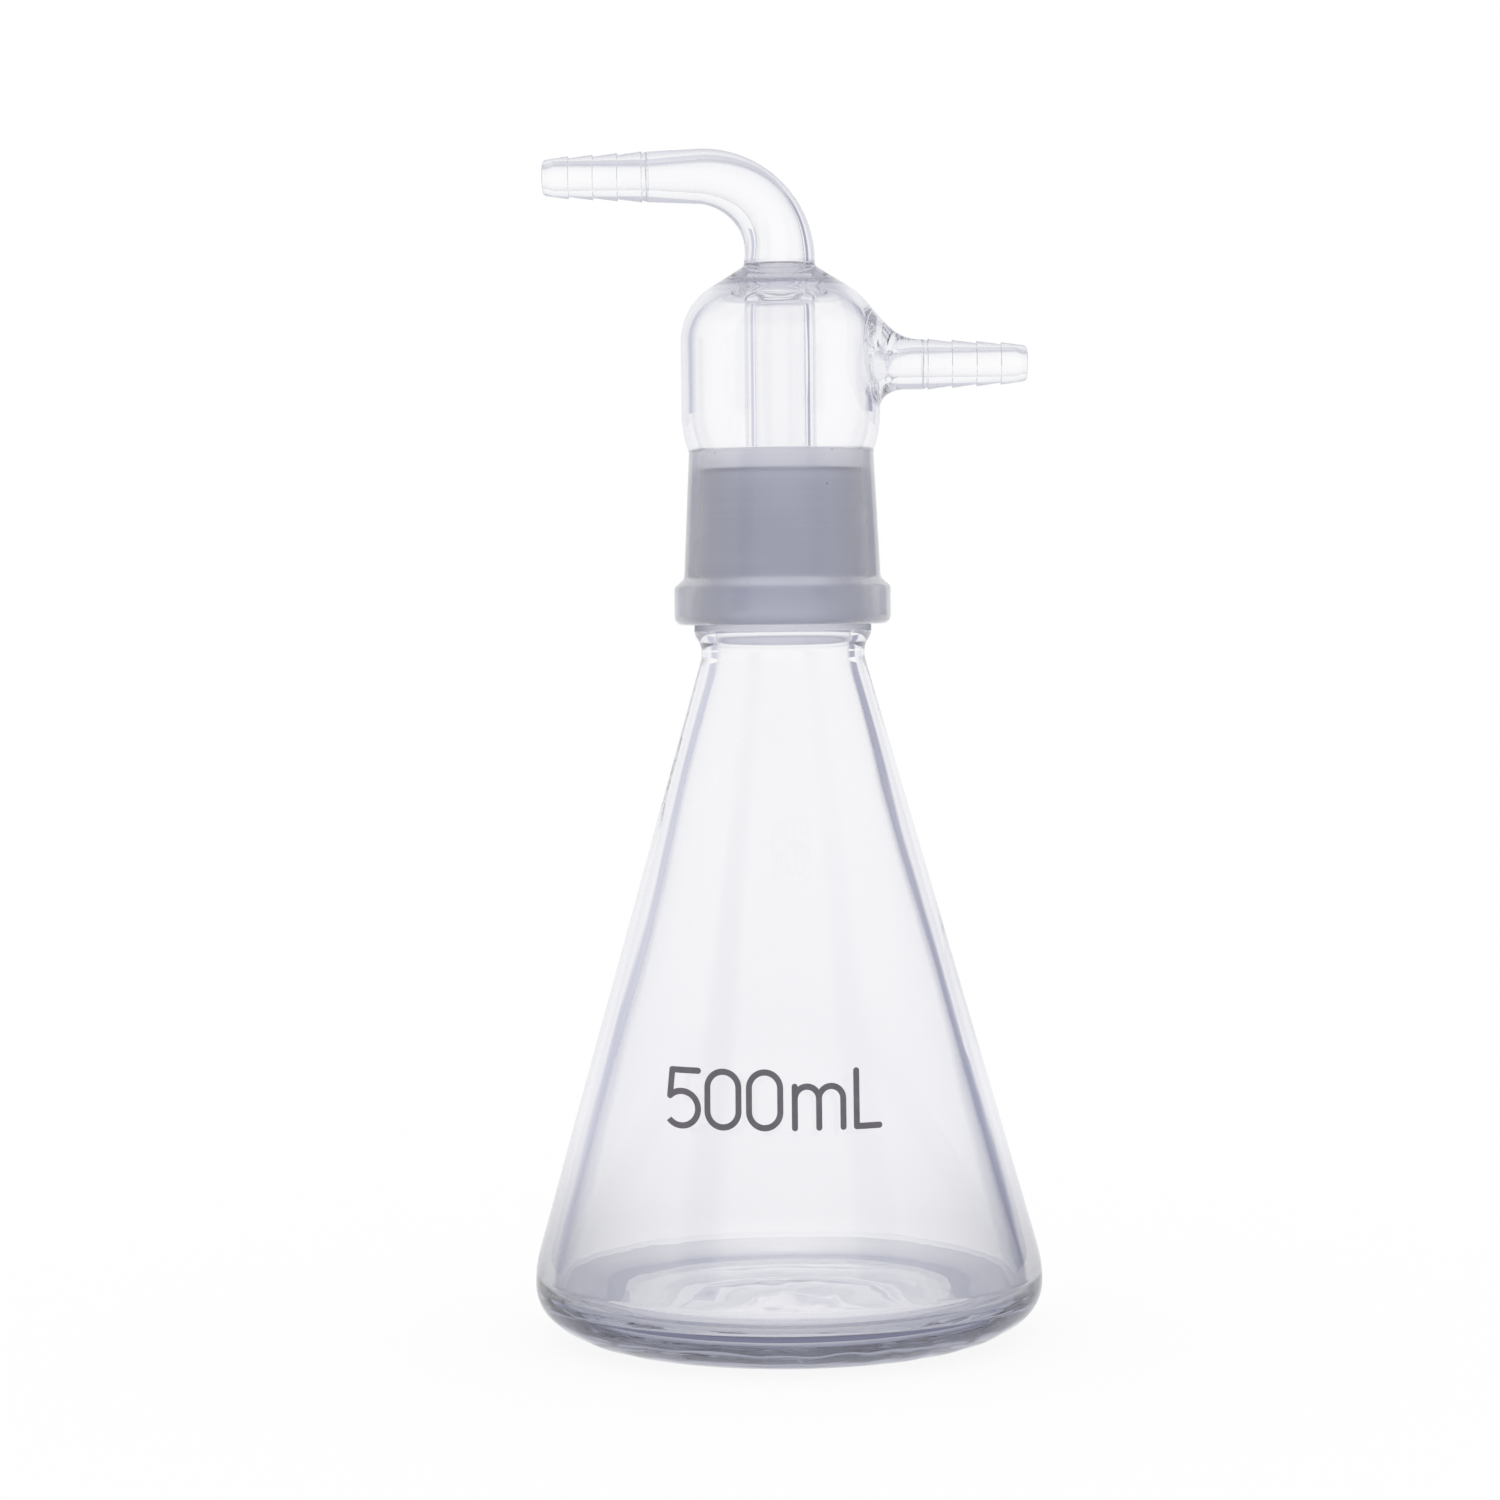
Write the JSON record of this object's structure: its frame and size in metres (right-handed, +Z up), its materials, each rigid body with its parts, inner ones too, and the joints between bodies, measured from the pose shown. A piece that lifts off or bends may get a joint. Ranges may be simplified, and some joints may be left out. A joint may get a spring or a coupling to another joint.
{
  "type": "buchner flask",
  "caption": "Heavy-wall conical glass vacuum flask with a ground joint and a lift-off domed head that carries a bent hose inlet, an inner tube and a side hose outlet.",
  "frame": {"origin": "on the axis of the flask, at the level of the surface it stands on", "axes": "+Z up the axis of the flask, +X towards the outlet nozzle, -Y towards the side that carries the capacity figure"},
  "size_m": [0.115, 0.115, 0.2679],
  "materials": {
    "clear_glass": "clear fire-polished borosilicate glass",
    "ground_glass": "clear glass with one face finely ground to a grey frost",
    "enamel": "dark grey fired-on enamel, satin"
  },
  "bodies": {
    "flask": {"flask_body": "clear_glass", "capacity_mark": "enamel"},
    "ground_cone": {"flask_ground_cone": "ground_glass"},
    "head": {"head_ground_socket": "ground_glass", "head_dome": "clear_glass", "outlet_side_arm": "clear_glass", "inner_tube": "clear_glass", "inlet_elbow": "clear_glass", "inlet_hose_nozzle": "clear_glass", "outlet_hose_nozzle": "clear_glass"}
  },
  "joints": [
    {"name": "head_twist", "type": "hinge", "parent": "flask", "child": "ground_cone", "pos_m": [0, 0, 0.1593], "axis": [0, 0, 1], "continuous": true},
    {"name": "head_lift", "type": "slide", "parent": "ground_cone", "child": "head", "axis": [0, 0, 1], "range_m": [0, 0.06]}
  ]
}
